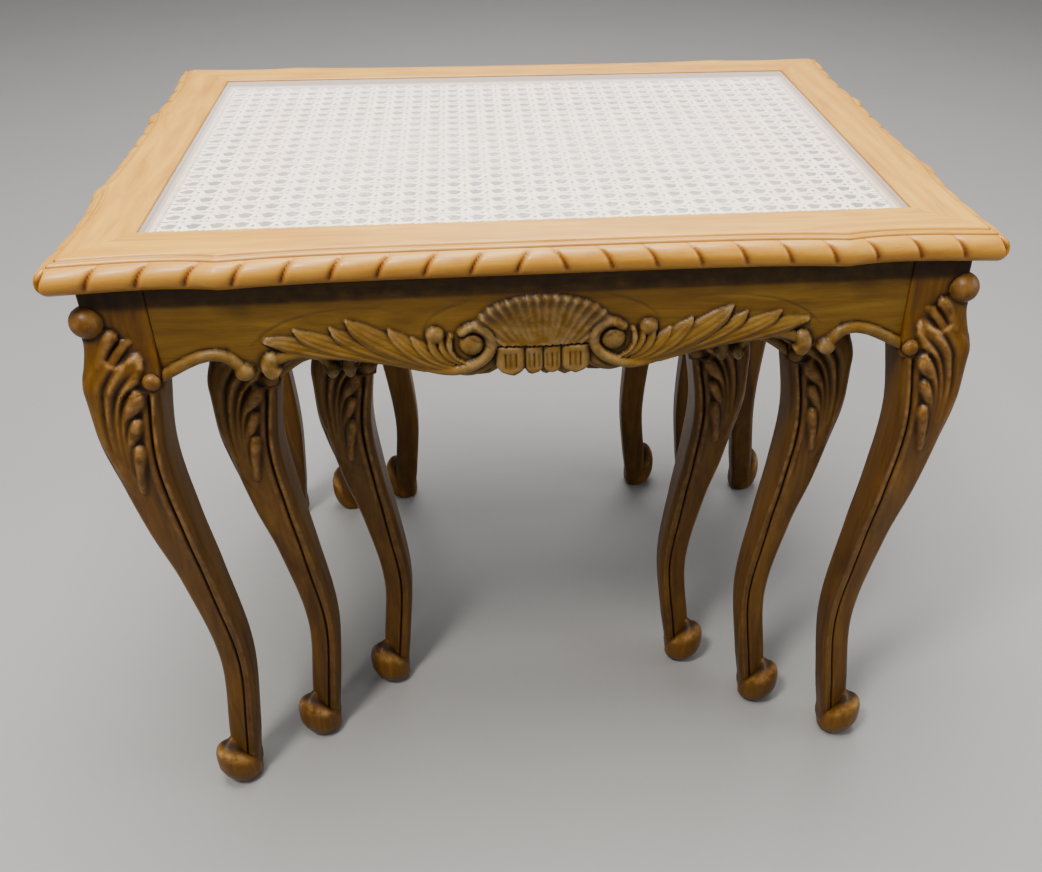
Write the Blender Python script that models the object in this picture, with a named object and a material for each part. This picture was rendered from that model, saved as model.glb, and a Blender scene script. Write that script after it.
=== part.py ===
"""Nest of three carved side tables with glazed cane tops.

Metres, +Z up. The tables stand on z = 0 with their fronts towards -Y. The middle table slides
into the open back of the large one, and the small table into the open back of the middle one.
Every size of an inner table follows from the table that it stands in and a named clearance.
"""
from collections import namedtuple

import bmesh
import bpy
from math import cos, pi, sin
from mathutils import Vector

# Large table, measured over the tips of its top
LARGE_WIDTH = 0.6120
LARGE_DEPTH = 0.4450
LARGE_HEIGHT = 0.500

# How the inner tables fit: beside the posts, under the top frame, behind the glue block
MIDDLE_SIDE_GAP = 0.0050
SMALL_SIDE_GAP = 0.0015
TOP_GAP = 0.0065
MIDDLE_FRONT_GAP = 0.0034
SMALL_FRONT_GAP = 0.0162
MIDDLE_BACK_REACH = 0.0060
SMALL_BACK_REACH = 0.0150

# Gap between pieces that touch
FIT = 0.0003

# Top frame
TOP_THICKNESS = 0.0210
BORDER = 0.0520
TIP_RADIUS = 0.0080
FRONT_CUSP = 0.67
SIDE_CUSP = 0.40
CENTRE_DIP = 0.0060
SIDE_DIP = 0.0040
END_DIP = 0.0040

# Glass, cane and spline, from the top surface downwards
GLASS_RECESS = 0.0015
GLASS_THICKNESS = 0.0040
GLASS_SEAT = 0.0030
CANE_THICKNESS = 0.0018
SPLINE_WIDTH = 0.0035
SPLINE_DEPTH = 0.0050
LEDGE = 0.0110

# Legs: post at the top, cabriole shaft below; outer and inner faces from the foot's centre
SIDE_OVERHANG = 0.0193
FRONT_OVERHANG = 0.0132
POST = 0.0400
FOOT_INSET = 0.0215
KNEE_OUT = 0.0278
KNEE_IN = 0.0165
UNDER_KNEE_OUT = 0.0265
UNDER_KNEE_IN = 0.0120
CALF_OUT = 0.0190
CALF_IN = 0.0172
SHIN_OUT = 0.0090
SHIN_IN = 0.0212
ANKLE_OUT = -0.0010
ANKLE_IN = 0.0265
INSTEP_OUT = 0.0045
INSTEP_IN = 0.0165
TOE_OUT = 0.0265
TOE_IN = 0.0130
PAD_RADIUS = 0.0120
PAD_HEIGHT = 0.0050
CORNER_CUT = 0.0035
KNEE_RISE = 0.0350

# Aprons
APRON_THICKNESS = 0.0180
APRON_REVEAL = 0.0015
APRON_END_DEPTH = 0.0690
APRON_CENTRE_DEPTH = 0.0720
APRON_ARCH_DEPTH = 0.0600
SIDE_CENTRE_DEPTH = 0.0640
SIDE_ARCH_DEPTH = 0.0530
TENON_THICKNESS = 0.0080
TENON_LENGTH = 0.0180
TENON_SHOULDER = 0.0080
MORTISE_SPARE = 0.0010

# Glue blocks in the corner between an apron and the top frame
BLOCK_SIZE = 0.0090
BLOCK_LENGTH = 0.1200

Table = namedtuple("Table", "name half_width front back height back_apron")
MODEL = "nesting_tables"


def clear_scene():
    for item in list(bpy.data.objects):
        bpy.data.objects.remove(item, do_unlink=True)


def new_collection(name, hidden=False):
    collection = bpy.data.collections.new(name)
    bpy.context.scene.collection.children.link(collection)
    collection.hide_render = hidden
    return collection


def material(name, colour, roughness, metallic=0.0, alpha=1.0):
    finish = bpy.data.materials.new(name)
    finish.use_nodes = True
    shader = finish.node_tree.nodes["Principled BSDF"]
    shader.inputs["Base Color"].default_value = (*colour, 1.0)
    shader.inputs["Roughness"].default_value = roughness
    shader.inputs["Metallic"].default_value = metallic
    shader.inputs["Alpha"].default_value = alpha
    finish.diffuse_color = (*colour, alpha)
    return finish


def top_wood(name):
    return material(name, (0.56, 0.33, 0.14), 0.38)


def apron_wood(name):
    return material(name, (0.25, 0.15, 0.045), 0.42)


def leg_wood(name):
    return material(name, (0.15, 0.075, 0.025), 0.40)


def block_wood(name):
    return material(name, (0.45, 0.32, 0.19), 0.70)


def clear_glass(name):
    return material(name, (0.80, 0.87, 0.84), 0.05, alpha=0.3)


def woven_cane(name):
    return material(name, (0.76, 0.66, 0.46), 0.60)


def split_reed(name):
    return material(name, (0.62, 0.47, 0.26), 0.65)


# Places on a table, in the frame of the whole nest

def post_outer_x(table):
    return table.half_width - SIDE_OVERHANG


def post_inner_x(table):
    return post_outer_x(table) - POST


def foot_x(table):
    return post_outer_x(table) - FOOT_INSET


def post_outer_y(table, side):
    return table.front + FRONT_OVERHANG if side < 0 else table.back - FRONT_OVERHANG


def foot_y(table, side):
    return post_outer_y(table, side) - side * FOOT_INSET


def under_top(table):
    return table.height - TOP_THICKNESS


def centre_y(table):
    return (table.front + table.back) / 2


def apron_middle(outer):
    return outer - APRON_REVEAL - APRON_THICKNESS / 2


def apron_inner(outer):
    return outer - APRON_REVEAL - APRON_THICKNESS


def fit_inside(outer, name, side_gap, front_gap, back_reach, back_apron):
    front_post = -post_outer_y(outer, -1)
    block_face = -(apron_inner(front_post) - FIT - BLOCK_SIZE)
    return Table(name, post_inner_x(outer) - side_gap, block_face + front_gap,
                 outer.back + back_reach, under_top(outer) - TOP_GAP, back_apron)


def three_tables():
    large = Table("large", LARGE_WIDTH / 2, -LARGE_DEPTH / 2, LARGE_DEPTH / 2, LARGE_HEIGHT, False)
    middle = fit_inside(large, "middle", MIDDLE_SIDE_GAP, MIDDLE_FRONT_GAP, MIDDLE_BACK_REACH, False)
    small = fit_inside(middle, "small", SMALL_SIDE_GAP, SMALL_FRONT_GAP, SMALL_BACK_REACH, True)
    shift = -(large.front + small.back) / 2
    return [t._replace(front=t.front + shift, back=t.back + shift) for t in (large, middle, small)]


# Modelling helpers

def smooth_through(stations, at):
    """Value at a place on the smooth curve through stations of (place, value, ...)."""
    last = len(stations) - 2
    i = min(max(sum(1 for s in stations if s[0] <= at) - 1, 0), last)
    before = stations[max(i - 1, 0)]
    start = stations[i]
    end = stations[i + 1]
    after = stations[min(i + 2, last + 1)]
    span = end[0] - start[0]
    t = (at - start[0]) / span
    values = []
    for k in range(1, len(start)):
        slope_start = (end[k] - before[k]) / (end[0] - before[0])
        slope_end = (after[k] - start[k]) / (after[0] - start[0])
        near = (2 * t ** 3 - 3 * t ** 2 + 1) * start[k] + (t ** 3 - 2 * t ** 2 + t) * span * slope_start
        far = (3 * t ** 2 - 2 * t ** 3) * end[k] + (t ** 3 - t ** 2) * span * slope_end
        values.append(near + far)
    return values


def mesh_object(name, bm, collection, location=(0, 0, 0)):
    mesh = bpy.data.meshes.new(name)
    bm.to_mesh(mesh)
    bm.free()
    item = bpy.data.objects.new(name, mesh)
    item.location = location
    collection.objects.link(item)
    return item


def box(name, low, high, collection):
    centre = (Vector(low) + Vector(high)) / 2
    bm = bmesh.new()
    bmesh.ops.create_cube(bm, size=1.0)
    bmesh.ops.scale(bm, vec=Vector(high) - Vector(low), verts=bm.verts)
    return mesh_object(name, bm, collection, centre)


def cutter_box(name, low, high, cutters):
    item = box(name, low, high, cutters)
    item.display_type = "WIRE"
    item.hide_render = True
    return item


def flat_piece(name, outlines, thickness, location, rotation, collection):
    """Board of even thickness, drawn as one or more closed outlines about its middle plane."""
    curve = bpy.data.curves.new(name, "CURVE")
    curve.dimensions = "2D"
    curve.fill_mode = "BOTH"
    curve.extrude = thickness / 2
    for points in outlines:
        spline = curve.splines.new("POLY")
        spline.points.add(len(points) - 1)
        spline.use_cyclic_u = True
        for point, (x, y) in zip(spline.points, points):
            point.co = (x, y, 0, 1)
    drawn = bpy.data.objects.new(name, curve)
    drawn.location = location
    drawn.rotation_euler = rotation
    collection.objects.link(drawn)
    depsgraph = bpy.context.evaluated_depsgraph_get()
    mesh = bpy.data.meshes.new_from_object(drawn.evaluated_get(depsgraph))
    place = drawn.matrix_world.copy()
    bpy.data.objects.remove(drawn, do_unlink=True)
    bpy.data.curves.remove(curve)
    bm = bmesh.new()
    bm.from_mesh(mesh)
    bmesh.ops.remove_doubles(bm, verts=bm.verts, dist=0.00001)
    bmesh.ops.recalc_face_normals(bm, faces=bm.faces)
    bm.to_mesh(mesh)
    bm.free()
    mesh.name = name
    item = bpy.data.objects.new(name, mesh)
    item.matrix_world = place
    collection.objects.link(item)
    return item


def boolean(item, tool, operation):
    modifier = item.modifiers.new(tool.name, "BOOLEAN")
    modifier.operation = operation
    modifier.solver = "EXACT"
    modifier.object = tool


def rectangle(half_x, half_y):
    return [(-half_x, -half_y), (half_x, -half_y), (half_x, half_y), (-half_x, half_y)]


# Legs

def shaft_rings(table):
    """Rings of the leg from the floor up: height, outer face and inner face from the foot's centre."""
    knee_top = under_top(table) - APRON_END_DEPTH - 3 * FIT
    stations = (
        (0.050 * knee_top, TOE_OUT, TOE_IN),
        (0.134 * knee_top, INSTEP_OUT, INSTEP_IN),
        (0.330 * knee_top, ANKLE_OUT, ANKLE_IN),
        (0.560 * knee_top, SHIN_OUT, SHIN_IN),
        (0.705 * knee_top, CALF_OUT, CALF_IN),
        (0.860 * knee_top, UNDER_KNEE_OUT, UNDER_KNEE_IN),
        (knee_top, KNEE_OUT, KNEE_IN),
    )
    steps = 14
    low = stations[0][0]
    rings = [(0.0, PAD_RADIUS, PAD_RADIUS), (PAD_HEIGHT, PAD_RADIUS, PAD_RADIUS),
             (2 * PAD_HEIGHT, TOE_OUT - CORNER_CUT, TOE_IN)]
    for k in range(steps + 1):
        z = low + (knee_top - low) * k / steps
        rings.append((z, *smooth_through(stations, min(z, knee_top - 1e-9))))
    post_in = POST - FOOT_INSET
    rings.append((knee_top + FIT, KNEE_OUT, post_in))
    rings.append((knee_top + KNEE_RISE / 2, (KNEE_OUT + FOOT_INSET) / 2, post_in))
    rings.append((knee_top + KNEE_RISE, FOOT_INSET, post_in))
    rings.append((under_top(table) - FIT, FOOT_INSET, post_in))
    return rings


def ring_points(z, outer, inner, side_x, side_y):
    """Square section with its corners cut, pushed out along the diagonal towards the outer corner."""
    half = (outer + inner) / 2
    offset = (outer - inner) / 2
    cut = CORNER_CUT
    corners = [(half - cut, half), (half, half - cut), (half, cut - half), (half - cut, -half),
               (cut - half, -half), (-half, cut - half), (-half, half - cut), (cut - half, half)]
    return [(side_x * offset + x, side_y * offset + y, z) for x, y in corners]


def leg(table, name, side_x, side_y, parts, cutters):
    """Loft through unlike square sections: pad, scroll toe, ankle, knee and post."""
    bm = bmesh.new()
    loops = []
    for z, outer, inner in shaft_rings(table):
        loops.append([bm.verts.new(p) for p in ring_points(z, outer, inner, side_x, side_y)])
    sides = len(loops[0])
    for lower, upper in zip(loops, loops[1:]):
        for k in range(sides):
            n = (k + 1) % sides
            bm.faces.new((lower[k], upper[k], upper[n], lower[n]))
    bm.faces.new(loops[0])
    bm.faces.new(loops[-1])
    bmesh.ops.recalc_face_normals(bm, faces=bm.faces)
    foot = (side_x * foot_x(table), foot_y(table, side_y), 0.0)
    item = mesh_object(name, bm, parts, foot)
    item.data.materials.append(leg_wood(name))
    for n, low, high in mortises(table, side_x, side_y):
        boolean(item, cutter_box(f"{name}_mortise_{n}", low, high, cutters), "DIFFERENCE")
    return item


def tenon_heights(table):
    top = under_top(table) - FIT - TENON_SHOULDER
    return top - (APRON_ARCH_DEPTH - 2 * TENON_SHOULDER), top


def mortises(table, side_x, side_y):
    """Boxes cut from a leg's post for the tenons that enter it, a little longer than the tenons."""
    low_z, high_z = tenon_heights(table)
    inner_x = post_inner_x(table)
    outer_y = post_outer_y(table, side_y)
    middle_x = side_x * apron_middle(post_outer_x(table))
    middle_y = outer_y - side_y * (APRON_REVEAL + APRON_THICKNESS / 2)
    inner_y = outer_y - side_y * POST
    reach = TENON_LENGTH + MORTISE_SPARE
    half = TENON_THICKNESS / 2 + FIT
    out = []
    if side_y < 0 or table.back_apron:
        xs = sorted((side_x * (inner_x - FIT - MORTISE_SPARE), side_x * (inner_x + reach)))
        out.append(("long", (xs[0], middle_y - half, low_z - FIT), (xs[1], middle_y + half, high_z + FIT)))
    ys = sorted((inner_y - side_y * (FIT + MORTISE_SPARE), inner_y + side_y * reach))
    out.append(("side", (middle_x - half, ys[0], low_z - FIT), (middle_x + half, ys[1], high_z + FIT)))
    return out


# Aprons

def apron_edge(half_length, centre_depth, arch_depth):
    """Lower edge of an apron from its left end to its right end, as drops below its top edge."""
    stations = (
        (0.00, centre_depth),
        (0.28, centre_depth + 0.0010),
        (0.46, arch_depth + 0.0030),
        (0.62, arch_depth),
        (0.70, arch_depth + 0.0065),
        (0.86, arch_depth + 0.0020),
        (1.00, APRON_END_DEPTH),
    )
    steps = 13
    half = [(k / steps, smooth_through(stations, min(k / steps, 0.99999))[0]) for k in range(steps + 1)]
    right = [(share * half_length, drop) for share, drop in half]
    left = [(-x, drop) for x, drop in reversed(right[1:])]
    return left + right


def apron(table, name, half_length, middle, rotation, depths, parts, cutters):
    """Board with a shaped lower edge and a tenon at each end."""
    half = half_length - FIT
    top = under_top(table) - FIT
    outline = [(x, -drop) for x, drop in apron_edge(half, *depths)]
    outline += [(half, 0.0), (-half, 0.0)]
    place = (middle[0], middle[1], top)
    item = flat_piece(name, [outline], APRON_THICKNESS, place, (pi / 2, 0, rotation), parts)
    item.data.materials.append(apron_wood(name))
    low_z, high_z = tenon_heights(table)
    along = Vector((cos(rotation), sin(rotation), 0))
    across = Vector((-sin(rotation), cos(rotation), 0))
    for n, end in (("a", -1), ("b", 1)):
        inner = Vector(place) + along * end * (half - 2 * TENON_SHOULDER)
        outer = Vector(place) + along * end * (half + TENON_LENGTH)
        near = inner - across * TENON_THICKNESS / 2
        far = outer + across * TENON_THICKNESS / 2
        low = (min(near.x, far.x), min(near.y, far.y), low_z)
        high = (max(near.x, far.x), max(near.y, far.y), high_z)
        boolean(item, cutter_box(f"{name}_tenon_{n}", low, high, cutters), "UNION")
    return item


def aprons(table, parts, cutters):
    carved = (APRON_CENTRE_DEPTH, APRON_ARCH_DEPTH)
    plain = (SIDE_CENTRE_DEPTH, SIDE_ARCH_DEPTH)
    front_y = post_outer_y(table, -1) + APRON_REVEAL + APRON_THICKNESS / 2
    back_y = post_outer_y(table, 1) - APRON_REVEAL - APRON_THICKNESS / 2
    side_x = apron_middle(post_outer_x(table))
    half_side = (post_outer_y(table, 1) - post_outer_y(table, -1)) / 2 - POST
    long_half = post_inner_x(table)
    made = [
        apron(table, f"{table.name}_front_apron", long_half, (0, front_y), 0, carved, parts, cutters),
        apron(table, f"{table.name}_left_apron", half_side, (-side_x, centre_y(table)), -pi / 2,
              plain, parts, cutters),
        apron(table, f"{table.name}_right_apron", half_side, (side_x, centre_y(table)), pi / 2,
              plain, parts, cutters),
    ]
    if table.back_apron:
        made.append(apron(table, f"{table.name}_back_apron", long_half, (0, back_y), pi,
                          plain, parts, cutters))
    return made


# Top frame

def scalloped_edge(half_length, dip, cusp):
    """Outer edge of a rail from tip to tip: place along it and distance inside the tips' line."""
    inner_steps = 7
    outer_steps = 4
    straight = half_length - TIP_RADIUS
    right = []
    for k in range(inner_steps + 1):
        share = k / inner_steps
        right.append((share * cusp * straight, dip * (1 - share ** 5)))
    for k in range(1, outer_steps + 1):
        share = k / outer_steps
        right.append((straight * (cusp + (1 - cusp) * share), END_DIP * sin(pi * share)))
    for k in (1, 2):
        turn = k * pi / 8
        right.append((straight + TIP_RADIUS * sin(turn), TIP_RADIUS * (1 - cos(turn))))
    left = [(-along, inset) for along, inset in reversed(right[1:])]
    return left + right


def opening(table):
    """Half sizes of the glass pocket, as seen from above."""
    return table.half_width - BORDER, (table.back - table.front) / 2 - BORDER


def rail_outline(half_length, half_other, dip, cusp, inner_length, inner_other):
    """Mitred rail lying along -Y of the frame's centre."""
    points = [(along, -half_other + inset) for along, inset in scalloped_edge(half_length, dip, cusp)]
    points[0] = (points[0][0] + FIT / 2, points[0][1])
    points[-1] = (points[-1][0] - FIT / 2, points[-1][1])
    points.append((inner_length - FIT / 2, -inner_other))
    points.append((-inner_length + FIT / 2, -inner_other))
    return points


def pocket_levels(table):
    glass_top = table.height - GLASS_RECESS
    glass_low = glass_top - GLASS_THICKNESS
    cane_top = glass_low - FIT
    cane_low = cane_top - CANE_THICKNESS
    return glass_top, glass_low, cane_top, cane_low


def pocket_cutters(table, cutters):
    """Glass pocket, cane recess and the four straight runs of the spline's groove."""
    glass_low = pocket_levels(table)[1]
    cane_low = pocket_levels(table)[3]
    half_x, half_y = opening(table)
    seat_x = half_x - GLASS_SEAT
    seat_y = half_y - GLASS_SEAT
    groove = SPLINE_WIDTH + 2 * FIT
    above = table.height + MORTISE_SPARE
    y = centre_y(table)
    floor = cane_low - SPLINE_DEPTH - FIT
    name = table.name
    pocket_low = (-half_x, y - half_y, glass_low - FIT)
    pocket = cutter_box(f"{name}_pocket", pocket_low, (half_x, y + half_y, above), cutters)
    recess_low = (-seat_x, y - seat_y, cane_low - FIT)
    recess = cutter_box(f"{name}_recess", recess_low, (seat_x, y + seat_y, above), cutters)
    grooves = {
        "front": ((-seat_x, y - seat_y, floor), (seat_x, y - seat_y + groove, above)),
        "back": ((-seat_x, y + seat_y - groove, floor), (seat_x, y + seat_y, above)),
        "left": ((-seat_x, y - seat_y, floor), (-seat_x + groove, y + seat_y, above)),
        "right": ((seat_x - groove, y - seat_y, floor), (seat_x, y + seat_y, above)),
    }
    runs = {side: cutter_box(f"{name}_{side}_groove", *ends, cutters) for side, ends in grooves.items()}
    return pocket, recess, runs


def top_frame(table, parts, cutters):
    half_x = table.half_width
    half_y = (table.back - table.front) / 2
    pocket_x, pocket_y = opening(table)
    inner_x = pocket_x - LEDGE
    inner_y = pocket_y - LEDGE
    middle = (0, centre_y(table), table.height - TOP_THICKNESS / 2)
    pocket, recess, runs = pocket_cutters(table, cutters)
    long_rail = rail_outline(half_x, half_y, CENTRE_DIP, FRONT_CUSP, inner_x, inner_y)
    side_rail = rail_outline(half_y, half_x, SIDE_DIP, SIDE_CUSP, inner_y, inner_x)
    turns = {
        "front": (long_rail, 0),
        "back": (long_rail, pi),
        "left": (side_rail, -pi / 2),
        "right": (side_rail, pi / 2),
    }
    made = []
    for side, (outline, turn) in turns.items():
        name = f"{table.name}_{side}_rail"
        rail = flat_piece(name, [outline], TOP_THICKNESS, middle, (0, 0, turn), parts)
        rail.data.materials.append(top_wood(name))
        for tool in (pocket, recess, runs[side]):
            boolean(rail, tool, "DIFFERENCE")
        made.append(rail)
    return made


def glass(table, parts):
    half_x, half_y = opening(table)
    glass_top, glass_low = pocket_levels(table)[:2]
    y = centre_y(table)
    low = (FIT - half_x, y - half_y + FIT, glass_low)
    high = (half_x - FIT, y + half_y - FIT, glass_top)
    item = box(f"{table.name}_glass", low, high, parts)
    item.data.materials.append(clear_glass(item.name))
    return item


def cane_panel(table, parts):
    half_x, half_y = opening(table)
    cane_top, cane_low = pocket_levels(table)[2:]
    inset = GLASS_SEAT + SPLINE_WIDTH + 2 * FIT
    y = centre_y(table)
    low = (inset - half_x, y - half_y + inset, cane_low)
    high = (half_x - inset, y + half_y - inset, cane_top)
    item = box(f"{table.name}_cane", low, high, parts)
    item.data.materials.append(woven_cane(item.name))
    return item


def cane_spline(table, parts):
    half_x, half_y = opening(table)
    cane_top, cane_low = pocket_levels(table)[2:]
    low = cane_low - SPLINE_DEPTH
    outer = GLASS_SEAT + FIT
    inner = outer + SPLINE_WIDTH
    outlines = [rectangle(half_x - outer, half_y - outer), rectangle(half_x - inner, half_y - inner)]
    middle = (0, centre_y(table), (low + cane_top) / 2)
    item = flat_piece(f"{table.name}_spline", outlines, cane_top - low, middle, (0, 0, 0), parts)
    item.data.materials.append(split_reed(item.name))
    return item


def glue_blocks(table, parts):
    """Square strips glued in the corner between each apron and the top frame."""
    top = under_top(table) - FIT
    low = top - BLOCK_SIZE
    half = BLOCK_LENGTH / 2
    y = centre_y(table)
    side = apron_inner(post_outer_x(table)) - FIT
    front = post_outer_y(table, -1) + APRON_REVEAL + APRON_THICKNESS + FIT
    back = post_outer_y(table, 1) - APRON_REVEAL - APRON_THICKNESS - FIT
    places = {
        "front": ((-half, front, low), (half, front + BLOCK_SIZE, top)),
        "left": ((-side, y - half, low), (-side + BLOCK_SIZE, y + half, top)),
        "right": ((side - BLOCK_SIZE, y - half, low), (side, y + half, top)),
    }
    if table.back_apron:
        places["back"] = ((-half, back - BLOCK_SIZE, low), (half, back, top))
    made = []
    for place, ends in places.items():
        item = box(f"{table.name}_{place}_block", *ends, parts)
        item.data.materials.append(block_wood(item.name))
        made.append(item)
    return made


def build_table(table, parts, cutters):
    corners = {"front_left": (-1, -1), "front_right": (1, -1), "back_left": (-1, 1), "back_right": (1, 1)}
    made = []
    for place, sides in corners.items():
        made.append(leg(table, f"{table.name}_{place}_leg", *sides, parts, cutters))
    made += aprons(table, parts, cutters)
    made += top_frame(table, parts, cutters)
    made += [glass(table, parts), cane_panel(table, parts), cane_spline(table, parts)]
    made += glue_blocks(table, parts)
    return made


def hang_on_empty(name, origin, pieces, parts, parent=None):
    """Parent a table's pieces to an empty on its slide, without moving them."""
    empty = bpy.data.objects.new(name, None)
    empty.location = origin
    parts.objects.link(empty)
    if parent:
        empty.parent = parent
        empty.matrix_parent_inverse = parent.matrix_world.inverted()
    bpy.context.view_layer.update()
    for piece in pieces:
        piece.parent = empty
        piece.matrix_parent_inverse = empty.matrix_world.inverted()
    return empty


def main():
    clear_scene()
    parts = new_collection(MODEL)
    cutters = new_collection("cutters", hidden=True)
    holder = None
    for table in three_tables():
        pieces = build_table(table, parts, cutters)
        holder = hang_on_empty(f"{table.name}_table", (0, centre_y(table), 0), pieces, parts, holder)


main()
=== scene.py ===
import math
import bpy
import numpy as np
from mathutils import Matrix, Vector


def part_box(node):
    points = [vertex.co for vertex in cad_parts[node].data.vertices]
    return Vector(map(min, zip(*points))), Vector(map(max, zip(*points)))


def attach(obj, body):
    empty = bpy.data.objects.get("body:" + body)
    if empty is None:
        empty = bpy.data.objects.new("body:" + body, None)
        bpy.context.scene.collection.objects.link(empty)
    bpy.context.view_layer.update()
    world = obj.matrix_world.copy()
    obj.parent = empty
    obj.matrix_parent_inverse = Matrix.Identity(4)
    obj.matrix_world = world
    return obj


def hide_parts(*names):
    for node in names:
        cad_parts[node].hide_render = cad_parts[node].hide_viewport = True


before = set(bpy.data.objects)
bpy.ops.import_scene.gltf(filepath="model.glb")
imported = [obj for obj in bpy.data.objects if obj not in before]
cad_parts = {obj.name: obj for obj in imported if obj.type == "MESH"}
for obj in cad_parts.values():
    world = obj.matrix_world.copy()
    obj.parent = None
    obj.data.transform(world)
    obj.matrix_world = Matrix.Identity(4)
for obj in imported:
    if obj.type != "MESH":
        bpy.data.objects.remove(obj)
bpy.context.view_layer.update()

mm = 0.001
far = 1e9
tiny = 1e-9
tables = ("large", "middle", "small")
print("frame loaded")


# A grid is added, and its points are then moved as with a sculpting brush

def setMode(mode):
    bpy.ops.object.mode_set(mode=mode)


def clearSelection():
    if bpy.context.object and bpy.context.object.mode != "OBJECT":
        setMode("OBJECT")
    bpy.ops.object.select_all(action="DESELECT")


def pick(piece):
    clearSelection()
    piece.select_set(True)
    bpy.context.view_layer.objects.active = piece


def readPoints(piece):
    flat = np.empty(len(piece.data.vertices) * 3, np.float32)
    piece.data.vertices.foreach_get("co", flat)
    return flat.reshape(-1, 3)


def newGrid(name, across, along):
    clearSelection()
    bpy.ops.mesh.primitive_grid_add(x_subdivisions=across, y_subdivisions=along, size=1)
    piece = bpy.context.object
    piece.name = name
    piece.data.name = name
    places = readPoints(piece)
    column = np.rint((places[:, 0] + 0.5) * across).astype(int)
    row = np.rint((places[:, 1] + 0.5) * along).astype(int)
    return piece, column, row


def placePoints(piece, column, row, points, marks=None):
    piece.data.vertices.foreach_set("co", points[column, row].astype(np.float32).ravel())
    for label, values in (marks or {}).items():
        layer = piece.data.attributes.new(label, "FLOAT", "POINT")
        layer.data.foreach_set("value", values[column, row].astype(np.float32))
    piece.data.update()


def closeShell(piece, merge=2e-6, smooth=38):
    pick(piece)
    setMode("EDIT")
    bpy.ops.mesh.select_all(action="SELECT")
    bpy.ops.mesh.remove_doubles(threshold=merge)
    bpy.ops.mesh.fill_holes(sides=0)
    bpy.ops.mesh.select_all(action="SELECT")
    bpy.ops.mesh.normals_make_consistent(inside=False)
    setMode("OBJECT")
    bpy.ops.object.shade_smooth_by_angle(angle=math.radians(smooth))


def soften(values, reach):
    # even blur over a grid, reach in grid steps
    kernel = np.exp(-0.5 * (np.arange(-3 * reach, 3 * reach + 1) / reach) ** 2)
    kernel /= kernel.sum()
    pad = 3 * reach
    wide = np.pad(values, ((pad, pad), (0, 0)), mode="edge")
    values = sum(k * wide[i:i + values.shape[0]] for i, k in enumerate(kernel))
    wide = np.pad(values, ((0, 0), (pad, pad)), mode="edge")
    return sum(k * wide[:, i:i + values.shape[1]] for i, k in enumerate(kernel))


def ease(x, low, high):
    t = np.clip((x - low) / (high - low), 0, 1)
    return t * t * (3 - 2 * t)


def smoothThrough(places, values, at):
    # cubic through the stations, with the slopes of their neighbours
    places = np.asarray(places, float)
    values = np.asarray(values, float)
    last = len(places) - 2
    i = np.clip(np.searchsorted(places, at, side="right") - 1, 0, last)
    before = np.maximum(i - 1, 0)
    after = np.minimum(i + 2, last + 1)
    span = places[i + 1] - places[i]
    t = (np.clip(at, places[0], places[-1]) - places[i]) / span
    slopeA = (values[i + 1] - values[before]) / (places[i + 1] - places[before])
    slopeB = (values[after] - values[i]) / (places[after] - places[i])
    return ((2 * t ** 3 - 3 * t ** 2 + 1) * values[i] + (t ** 3 - 2 * t ** 2 + t) * span * slopeA
            + (3 * t ** 2 - 2 * t ** 3) * values[i + 1] + (t ** 3 - t ** 2) * span * slopeB)


def alongStroke(x, y, path):
    # distance from every point to a stroke of (x, y, half width, height), with its width and height there
    path = np.asarray(path, float)
    steps = 6
    fine = np.linspace(0, len(path) - 1, (len(path) - 1) * steps + 1)
    knots = np.arange(len(path))
    fine = np.stack([smoothThrough(knots, path[:, k], fine) for k in range(path.shape[1])], 1)
    best = np.full(x.shape, far)
    width = np.ones(x.shape)
    height = np.zeros(x.shape)
    side = np.zeros(x.shape)
    for a, b in zip(fine[:-1], fine[1:]):
        dx, dy = b[0] - a[0], b[1] - a[1]
        t = np.clip(((x - a[0]) * dx + (y - a[1]) * dy) / (dx * dx + dy * dy + tiny ** 2), 0, 1)
        gapX, gapY = x - a[0] - t * dx, y - a[1] - t * dy
        gap = np.hypot(gapX, gapY)
        near = gap < best
        best = np.where(near, gap, best)
        width = np.where(near, a[2] + t * (b[2] - a[2]), width)
        height = np.where(near, a[3] + t * (b[3] - a[3]), height)
        side = np.where(near, np.sign(dx * gapY - dy * gapX), side)
    return best, width, height, side


def carveTube(relief, x, y, path):
    gap, width, height = alongStroke(x, y, path)[:3]
    t = np.clip(gap / width, 0, 1)
    return np.maximum(relief, np.where(gap < width, height * np.sqrt(1 - t * t) + 0.15, relief))


def carveLobe(relief, x, y, path, lift=0.35, vein=0.5):
    # leaf lobe: domed, with veins and with one edge lifted over its neighbour
    gap, width, height, side = alongStroke(x, y, path)
    t = np.clip(gap / width, 0, 1)
    veinWidth = 0.6
    body = height * (1 - t ** 2.2) ** 0.6 * (1 + lift * side * t)
    body -= vein * np.exp(-(gap / veinWidth) ** 2) * (height > 1)
    body -= vein * np.exp(-((gap - 0.52 * width) / veinWidth) ** 2) * (width > 4)
    return np.maximum(relief, np.where(gap < width, body + 0.1, relief))


def carveBall(relief, x, y, centre, radius, height):
    gap = np.hypot(x - centre[0], y - centre[1]) / radius
    return np.maximum(relief, np.where(gap < 1, height * np.sqrt(np.clip(1 - gap * gap, 0, 1)), relief))


def cutLine(relief, x, y, path):
    gap, width, depth = alongStroke(x, y, path)[:3]
    return relief - depth * np.exp(-(gap / width) ** 2)


def shadeMarks(relief, reach, gain):
    # hollows get dark glaze with painted shade, crests are painted lighter as rubbed wear with painted
    # highlight
    rise = relief - soften(relief, reach)
    return np.clip(-rise * gain, 0, 1), np.clip(rise * gain, 0, 1)


# Shader maths as plain expressions

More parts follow.
